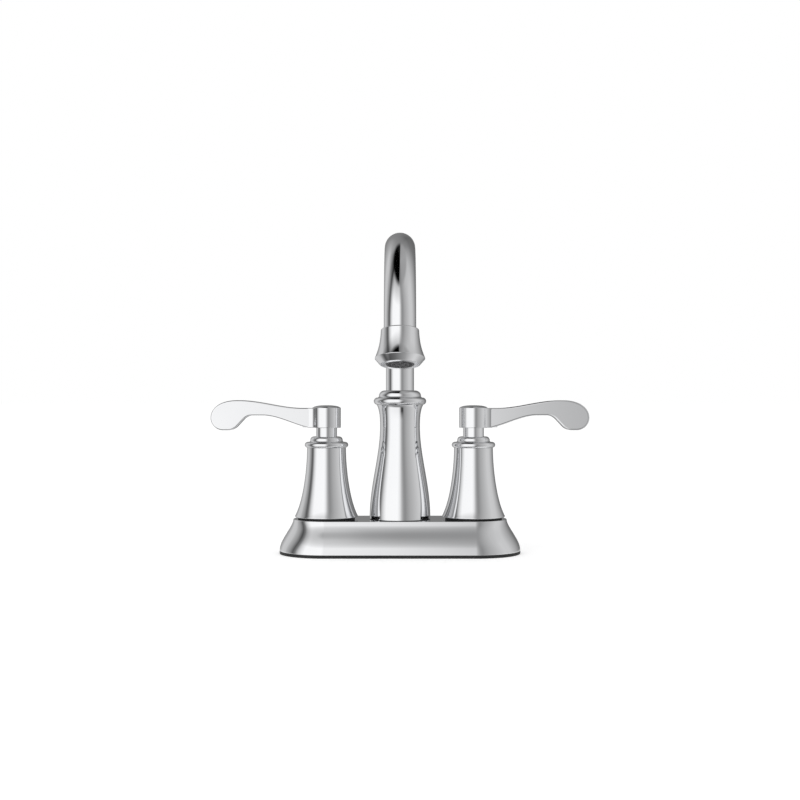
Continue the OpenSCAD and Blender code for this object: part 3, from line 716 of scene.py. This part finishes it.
def polish_group():
    """Hand-polish: a broad change of gloss, faint haze and a barely wavy skin."""
    group, given, made = group_of(
        "polish",
        [("Scale", "NodeSocketFloat", 40.0), ("Gloss low", "NodeSocketFloat", 0.03),
         ("Gloss high", "NodeSocketFloat", 0.06), ("Tint", "NodeSocketColor", (0.8, 0.8, 0.8, 1)),
         ("Haze tint", "NodeSocketColor", (0.7, 0.7, 0.7, 1))],
        SURFACE,
    )
    nodes = group.nodes
    place = nodes.new("ShaderNodeTexCoord")
    broad = nodes.new("ShaderNodeTexNoise")
    broad.inputs["Detail"].default_value = 2.0
    wire(group, place.outputs["Object"], broad.inputs["Vector"])
    wire(group, given.outputs["Scale"], broad.inputs["Scale"])
    fine = nodes.new("ShaderNodeTexNoise")
    fine.inputs["Scale"].default_value = 900.0
    fine.inputs["Detail"].default_value = 3.0
    wire(group, place.outputs["Object"], fine.inputs["Vector"])
    gloss = nodes.new("ShaderNodeMapRange")
    wire(group, broad.outputs["Fac"], gloss.inputs["Value"])
    wire(group, given.outputs["Gloss low"], gloss.inputs["To Min"])
    wire(group, given.outputs["Gloss high"], gloss.inputs["To Max"])
    tint = nodes.new("ShaderNodeMix")
    tint.data_type = "RGBA"
    wire(group, broad.outputs["Fac"], tint.inputs["Factor"])
    wire(group, given.outputs["Tint"], tint.inputs["A"])
    wire(group, given.outputs["Haze tint"], tint.inputs["B"])
    wire(group, tint.outputs["Result"], made.inputs["Color"])
    wire(group, gloss.outputs["Result"], made.inputs["Roughness"])
    wire(group, fine.outputs["Fac"], made.inputs["Height"])
    return group


def grain_group():
    """Moulded or cast skin: mottled colour, uneven gloss and a fine pebble."""
    group, given, made = group_of(
        "grain",
        [("Scale", "NodeSocketFloat", 600.0), ("Dark", "NodeSocketColor", (0, 0, 0, 1)),
         ("Light", "NodeSocketColor", (1, 1, 1, 1)), ("Rough low", "NodeSocketFloat", 0.4),
         ("Rough high", "NodeSocketFloat", 0.6)],
        SURFACE,
    )
    nodes = group.nodes
    place = nodes.new("ShaderNodeTexCoord")
    cells = nodes.new("ShaderNodeTexVoronoi")
    wire(group, place.outputs["Object"], cells.inputs["Vector"])
    wire(group, given.outputs["Scale"], cells.inputs["Scale"])
    cloud = nodes.new("ShaderNodeTexNoise")
    cloud.inputs["Scale"].default_value = 70.0
    cloud.inputs["Detail"].default_value = 4.0
    wire(group, place.outputs["Object"], cloud.inputs["Vector"])
    tint = nodes.new("ShaderNodeMix")
    tint.data_type = "RGBA"
    wire(group, cloud.outputs["Fac"], tint.inputs["Factor"])
    wire(group, given.outputs["Dark"], tint.inputs["A"])
    wire(group, given.outputs["Light"], tint.inputs["B"])
    rough = nodes.new("ShaderNodeMapRange")
    wire(group, cloud.outputs["Fac"], rough.inputs["Value"])
    wire(group, given.outputs["Rough low"], rough.inputs["To Min"])
    wire(group, given.outputs["Rough high"], rough.inputs["To Max"])
    wire(group, tint.outputs["Result"], made.inputs["Color"])
    wire(group, rough.outputs["Result"], made.inputs["Roughness"])
    wire(group, cells.outputs["Distance"], made.inputs["Height"])
    return group


def lathe_group():
    """Tool marks of a lathe: fine rings along the piece's height."""
    group, given, made = group_of(
        "lathe_marks",
        [("Pitch", "NodeSocketFloat", 9000.0), ("Dark", "NodeSocketColor", (0.5, 0.4, 0.2, 1)),
         ("Light", "NodeSocketColor", (0.8, 0.6, 0.3, 1))],
        SURFACE,
    )
    nodes = group.nodes
    place = nodes.new("ShaderNodeTexCoord")
    rings = nodes.new("ShaderNodeTexWave")
    rings.wave_type = "BANDS"
    rings.bands_direction = "Z"
    rings.inputs["Distortion"].default_value = 1.5
    wire(group, place.outputs["Object"], rings.inputs["Vector"])
    wire(group, given.outputs["Pitch"], rings.inputs["Scale"])
    cloud = nodes.new("ShaderNodeTexNoise")
    cloud.inputs["Scale"].default_value = 120.0
    wire(group, place.outputs["Object"], cloud.inputs["Vector"])
    tint = nodes.new("ShaderNodeMix")
    tint.data_type = "RGBA"
    wire(group, cloud.outputs["Fac"], tint.inputs["Factor"])
    wire(group, given.outputs["Dark"], tint.inputs["A"])
    wire(group, given.outputs["Light"], tint.inputs["B"])
    rough = nodes.new("ShaderNodeMapRange")
    rough.inputs["To Min"].default_value = 0.18
    rough.inputs["To Max"].default_value = 0.34
    wire(group, cloud.outputs["Fac"], rough.inputs["Value"])
    wire(group, tint.outputs["Result"], made.inputs["Color"])
    wire(group, rough.outputs["Result"], made.inputs["Roughness"])
    wire(group, rings.outputs["Fac"], made.inputs["Height"])
    return group


def finish_of(name, group, metallic, bump, depth, **values):
    """A material: one effect group feeding a Principled shader through a bump."""
    material = bpy.data.materials.new(name)
    material.use_nodes = True
    tree = material.node_tree
    shader = tree.nodes["Principled BSDF"]
    shader.inputs["Metallic"].default_value = metallic
    effect = tree.nodes.new("ShaderNodeGroup")
    effect.node_tree = group
    for label, value in values.items():
        effect.inputs[label.replace("_", " ")].default_value = value
    wire(tree, effect.outputs["Color"], shader.inputs["Base Color"])
    wire(tree, effect.outputs["Roughness"], shader.inputs["Roughness"])
    relief = tree.nodes.new("ShaderNodeBump")
    relief.inputs["Strength"].default_value = bump
    relief.inputs["Distance"].default_value = depth
    wire(tree, effect.outputs["Height"], relief.inputs["Height"])
    wire(tree, relief.outputs["Normal"], shader.inputs["Normal"])
    return material


def all_finishes():
    """Every finish of the record's slots, by slot."""
    polish, grain, lathe = polish_group(), grain_group(), lathe_group()
    chrome = finish_of(
        "polished_chrome", polish, 1.0, 0.01, 0.002 * MM, Scale=35.0, Gloss_low=0.03,
        Gloss_high=0.05, Tint=(0.86, 0.865, 0.875, 1), Haze_tint=(0.83, 0.835, 0.85, 1),
    )
    rubber = finish_of(
        "black_rubber", grain, 0.0, 0.25, 0.05 * MM, Scale=1400.0, Dark=(0.006, 0.006, 0.006, 1),
        Light=(0.016, 0.016, 0.017, 1), Rough_low=0.5, Rough_high=0.7,
    )
    brass = finish_of(
        "turned_brass", lathe, 1.0, 0.2, 0.02 * MM, Dark=(0.60, 0.44, 0.20, 1),
        Light=(0.80, 0.63, 0.33, 1),
    )
    copper = finish_of(
        "drawn_copper", polish, 1.0, 0.1, 0.01 * MM, Scale=90.0, Gloss_low=0.18, Gloss_high=0.4,
        Tint=(0.78, 0.42, 0.28, 1), Haze_tint=(0.55, 0.27, 0.18, 1),
    )
    nylon = finish_of(
        "natural_nylon", grain, 0.0, 0.15, 0.03 * MM, Scale=900.0, Dark=(0.76, 0.74, 0.67, 1),
        Light=(0.86, 0.85, 0.80, 1), Rough_low=0.35, Rough_high=0.5,
    )
    ceramic = finish_of(
        "lapped_ceramic", grain, 0.0, 0.05, 0.01 * MM, Scale=2500.0, Dark=(0.80, 0.78, 0.72, 1),
        Light=(0.90, 0.89, 0.86, 1), Rough_low=0.15, Rough_high=0.25,
    )
    steel = finish_of(
        "stainless_steel", polish, 1.0, 0.1, 0.01 * MM, Scale=200.0, Gloss_low=0.2, Gloss_high=0.35,
        Tint=(0.50, 0.50, 0.51, 1), Haze_tint=(0.40, 0.40, 0.41, 1),
    )
    plastic = finish_of(
        "dark_plastic", grain, 0.0, 0.2, 0.03 * MM, Scale=1200.0, Dark=(0.075, 0.075, 0.08, 1),
        Light=(0.13, 0.13, 0.135, 1), Rough_low=0.5, Rough_high=0.65,
    )
    return {
        "chrome": chrome, "rubber": rubber, "brass": brass, "copper": copper, "nylon": nylon,
        "ceramic": ceramic, "steel": steel, "dark_plastic": plastic,
    }


def coat(piece, material):
    """Leaves a piece with this material alone."""
    piece.data.materials.clear()
    piece.data.materials.append(material)


def dress_nodes(finishes):
    """Gives every CAD node its slot's finish; polished metal mirrors the outer pieces only."""
    for part in frame["record"]["subparts"]:
        node = frame["nodes"][part["node"]]
        coat(node, finishes[part["material_slot"]])
        node.visible_glossy = False


def dress(piece, node, body, slot, finishes):
    """A new piece stands for its node, rides on its body and takes its finish."""
    coat(piece, finishes[slot])
    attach(piece, body)
    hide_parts(node)


# Studio


def ramp_by(tree, source, levels):
    """Grey levels, given by degrees from the camera's side, over a full turn."""
    ramp = tree.nodes.new("ShaderNodeValToRGB")
    keys = ramp.color_ramp.elements
    keys.remove(keys[-1])
    for number, (degrees, level) in enumerate(levels):
        position = (degrees + 180) / 360
        key = keys[0] if number == 0 else keys.new(position)
        key.position = position
        key.color = (level, level, level, 1)
    wire(tree, source, ramp.inputs["Fac"])
    return ramp.outputs["Color"]


def maths(tree, kind, a, b=None):
    """One sum on numbers or links."""
    node = tree.nodes.new("ShaderNodeMath")
    node.operation = kind
    for socket, value in zip(node.inputs, (a, b)):
        if isinstance(value, (int, float)):
            socket.default_value = value
        elif value is not None:
            wire(tree, value, socket)
    return node.outputs[0]


def blend_of(tree, factor, a, b):
    """A grey or colour between two, by a factor."""
    mixed = tree.nodes.new("ShaderNodeMix")
    mixed.data_type = "RGBA"
    wire(tree, factor, mixed.inputs["Factor"])
    for socket, value in ((mixed.inputs["A"], a), (mixed.inputs["B"], b)):
        if isinstance(value, (int, float)):
            socket.default_value = (value,) * 3 + (1,)
        else:
            wire(tree, value, socket)
    return mixed.outputs["Result"]


def over_range(tree, source, start, end, kind="SMOOTHSTEP", levels=(0, 1)):
    """Goes from one level to the other while the source goes from start to end."""
    reach = tree.nodes.new("ShaderNodeMapRange")
    reach.interpolation_type = kind
    reach.inputs["From Min"].default_value = start
    reach.inputs["From Max"].default_value = end
    reach.inputs["To Min"].default_value = levels[0]
    reach.inputs["To Max"].default_value = levels[1]
    wire(tree, source, reach.inputs["Value"])
    return reach.outputs["Result"]


def seen_straight_or_mirrored(tree):
    """One for camera, glossy and transmission rays, which see the background as it is."""
    ray = tree.nodes.new("ShaderNodeLightPath")
    mirrored = maths(tree, "ADD", ray.outputs["Is Glossy Ray"], ray.outputs["Is Transmission Ray"])
    either = maths(tree, "ADD", ray.outputs["Is Camera Ray"], mirrored)
    return maths(tree, "MINIMUM", either, 1.0), ray.outputs["Is Glossy Ray"]


# Panels that polished metal mirrors: their levels by degrees from the camera's side, right
# positive, for the downward view, under the walls, the walls, above the walls and overhead
BELOW = [
    (-180, 0.42), (-120, 0.15), (-90, 0.08), (-60, 0.09), (-30, 0.15), (0, 0.25), (30, 0.36),
    (60, 0.60), (90, 0.80), (130, 0.60), (180, 0.42),
]
UNDER_WALLS = [
    (-180, 0.42), (-142, 0.69), (-118, 0.62), (-100, 0.34), (-88, 0.10), (-80, 0.22), (-71, 0.66),
    (-62, 0.93), (-54, 1.05), (-8, 1.0), (-3, 0.85), (2, 0.45), (7, 0.12), (11, 0.03), (16, 0.08),
    (23, 0.32), (36, 0.42), (48, 0.50), (80, 0.68), (99, 0.66), (124, 0.50), (150, 0.38),
    (180, 0.42),
]
WALLS = [
    (-180, 0.22), (-166, 0.26), (-150, 0.44), (-135, 0.66), (-118, 0.62), (-111, 0.48),
    (-100, 0.34), (-88, 0.10), (-80, 0.22), (-71, 0.66), (-62, 0.93), (-54, 1.10), (-10, 1.12),
    (-6, 1.04), (-3, 0.98), (0, 0.88), (3, 0.74), (5, 0.62), (9, 0.47), (14, 0.34), (20, 0.30),
    (26, 0.35), (38, 0.45), (51, 0.52), (65, 0.60), (80, 0.68), (99, 0.66), (124, 0.44),
    (148, 0.20), (166, 0.14), (180, 0.22),
]
ABOVE = [
    (-180, 0.25), (-145, 0.30), (-128, 0.12), (-112, 0.04), (-98, 0.02), (-88, 0.02), (-76, 0.25),
    (-60, 0.45), (-20, 0.55), (-5, 0.54), (-3, 0.40), (0, 0.33), (15, 0.34), (60, 0.58),
    (110, 0.56), (150, 0.30), (180, 0.25),
]
OVERHEAD = [
    (-180, 0.02), (-150, 0.0), (-12, 0.0), (-5, 0.22), (4, 0.26), (30, 0.36), (120, 0.40),
    (168, 0.36), (176, 0.28), (180, 0.02),
]
# The heights, as a share of the way up or down, between which one set gives way to the next
UNDER_FROM, UNDER_TO = -0.12, -0.40
BELOW_FROM, BELOW_TO = -0.60, -0.76
ABOVE_FROM, ABOVE_TO = 0.58, 0.87
OVERHEAD_FROM, OVERHEAD_TO = 0.81, 0.905
# The even light that matt surfaces get
FILL = 0.85


def studio_world():
    """Plain light for matt surfaces, a white background, and panels for metal to mirror."""
    world = bpy.data.worlds.new("studio")
    world.use_nodes = True
    bpy.context.scene.world = world
    tree = world.node_tree
    tree.nodes.clear()
    place = tree.nodes.new("ShaderNodeTexCoord")
    split = tree.nodes.new("ShaderNodeSeparateXYZ")
    wire(tree, place.outputs["Generated"], split.inputs["Vector"])
    x, y, z = split.outputs
    turn = maths(tree, "ARCTAN2", x, maths(tree, "MULTIPLY", y, -1.0))
    around = maths(tree, "ADD", maths(tree, "DIVIDE", turn, math.tau), 0.5)
    below, under, walls, above, overhead = (
        ramp_by(tree, around, part) for part in (BELOW, UNDER_WALLS, WALLS, ABOVE, OVERHEAD)
    )
    panels = blend_of(tree, over_range(tree, z, UNDER_FROM, UNDER_TO, "LINEAR"), walls, under)
    panels = blend_of(tree, over_range(tree, z, BELOW_FROM, BELOW_TO, "LINEAR"), panels, below)
    panels = blend_of(tree, over_range(tree, z, ABOVE_FROM, ABOVE_TO, "LINEAR"), panels, above)
    panels = blend_of(tree, over_range(tree, z, OVERHEAD_FROM, OVERHEAD_TO), panels, overhead)
    seen, mirrored = seen_straight_or_mirrored(tree)
    backdrop = blend_of(tree, mirrored, 1.0, panels)
    shown = blend_of(tree, seen, FILL, backdrop)
    glow = tree.nodes.new("ShaderNodeBackground")
    wire(tree, shown, glow.inputs["Color"])
    out = tree.nodes.new("ShaderNodeOutputWorld")
    wire(tree, glow.outputs["Background"], out.inputs["Surface"])


# The floor's lift towards white for the camera, and the oval in which metal mirrors it
FLOOR_LIFT = 0.36
FLOOR_NEAR = (20.0, 31.0, 0.0)
FLOOR_FADE = (1.2, 3.2)
FLOOR_CLEAR = (0.4, 1.0)


def studio_floor():
    """Plain pale floor: it keeps the object's shadow, and metal mirrors only the part close by."""
    bpy.ops.object.select_all(action="DESELECT")
    bpy.ops.mesh.primitive_plane_add(size=60.0, location=(0, 0, cad_box[0].z))
    floor = bpy.context.active_object
    floor.name = "studio_floor"
    material = bpy.data.materials.new("pale_floor")
    material.use_nodes = True
    tree = material.node_tree
    tree.nodes.clear()
    seen, mirrored = seen_straight_or_mirrored(tree)
    matt = tree.nodes.new("ShaderNodeBsdfDiffuse")
    matt.inputs["Color"].default_value = (0.80, 0.80, 0.80, 1)
    glow = tree.nodes.new("ShaderNodeEmission")
    wire(tree, maths(tree, "MULTIPLY", seen, FLOOR_LIFT), glow.inputs["Strength"])
    both = tree.nodes.new("ShaderNodeAddShader")
    wire(tree, matt.outputs["BSDF"], both.inputs[0])
    wire(tree, glow.outputs["Emission"], both.inputs[1])
    place = tree.nodes.new("ShaderNodeTexCoord")
    away = tree.nodes.new("ShaderNodeVectorMath")
    away.operation = "MULTIPLY"
    away.inputs[1].default_value = FLOOR_NEAR
    wire(tree, place.outputs["Object"], away.inputs[0])
    distance = tree.nodes.new("ShaderNodeVectorMath")
    distance.operation = "LENGTH"
    wire(tree, away.outputs["Vector"], distance.inputs[0])
    far = over_range(tree, distance.outputs["Value"], *FLOOR_FADE, levels=FLOOR_CLEAR)
    clear = tree.nodes.new("ShaderNodeBsdfTransparent")
    laid = tree.nodes.new("ShaderNodeMixShader")
    wire(tree, maths(tree, "MULTIPLY", far, mirrored), laid.inputs["Fac"])
    wire(tree, both.outputs["Shader"], laid.inputs[1])
    wire(tree, clear.outputs["BSDF"], laid.inputs[2])
    out = tree.nodes.new("ShaderNodeOutputMaterial")
    wire(tree, laid.outputs["Shader"], out.inputs["Surface"])
    coat(floor, material)


def studio_lamp():
    """One broad soft lamp from the upper left, which only matt surfaces see."""
    bpy.ops.object.light_add(type="AREA", location=(-0.7, -0.8, 1.2))
    lamp = bpy.context.active_object
    lamp.name = "soft_lamp"
    lamp.data.shape = "DISK"
    lamp.data.size = 0.8
    lamp.data.energy = 2.5
    lamp.visible_glossy = False
    aim = Vector((0, -0.03, 0.08)) - lamp.location
    lamp.rotation_euler = aim.to_track_quat("-Z", "Y").to_euler()


def studio_camera():
    """The photograph's camera: level, in front of the middle."""
    bpy.ops.object.camera_add(location=CAMERA_AT, rotation=(math.pi / 2, 0, 0))
    camera = bpy.context.active_object
    camera.data.sensor_width = SENSOR
    camera.data.lens = LENS
    bpy.context.scene.camera = camera


def build():
    """Finishes for the CAD nodes, and the new pieces in place of theirs."""
    finishes = all_finishes()
    dress_nodes(finishes)
    hot_at, cold_at = middle("hot_bell"), middle("cold_bell")
    apart = Vector((cold_at.x - hot_at.x, 0, 0))

    hot_bell = bell("hot_escutcheon", "hot_bell")
    dress(copied(hot_bell, "cold_escutcheon", apart), "cold_bell", "base", "chrome", finishes)
    dress(hot_bell, "hot_bell", "base", "chrome", finishes)
    dress(column("column_casting", "spout_column"), "spout_column", "base", "chrome", finishes)
    dress(deck_plate(), "deck_plate", "base", "chrome", finishes)
    dress(deck_gasket(), "deck_gasket", "base", "rubber", finishes)
    # Under each bell the dark rubber seal ring is partly a real seal and partly painted shade: it
    # stands in for the shadow gap under the bell's lip.
    for side in ("hot", "cold"):
        ring = seal(side + "_seal_and_painted_shade_ring", side + "_bell_seal", SEAL_WALL, SEAL_RECESS)
        dress(ring, side + "_bell_seal", "base", "rubber", finishes)
    ring = seal("column_seal_and_painted_shade_ring", "column_seal", COLUMN_SEAL_WALL)
    dress(ring, "column_seal", "base", "rubber", finishes)
    dress(spout_tube(), "spout_tube", "spout", "chrome", finishes)
    dress(ferrule(), "spout_ferrule", "spout", "chrome", finishes)
    dress(aerator_ring(), "aerator_housing", "spout", "chrome", finishes)
    # Keeps the spout's dark mirror image out of the deck plate's front
    for piece in ("gooseneck", "spout_bell", "aerator_ring"):
        bpy.data.objects[piece].visible_glossy = False
    hot_handle = handle("hot_wing_handle", "hot_handle")
    cold_handle = copied(hot_handle, "cold_wing_handle", mirrored=True)
    dress(hot_handle, "hot_handle", "hot_lever", "chrome", finishes)
    dress(cold_handle, "cold_handle", "cold_lever", "chrome", finishes)


studio_camera()
build()
studio_world()
studio_floor()
studio_lamp()
bpy.context.scene.view_settings.view_transform = "Standard"
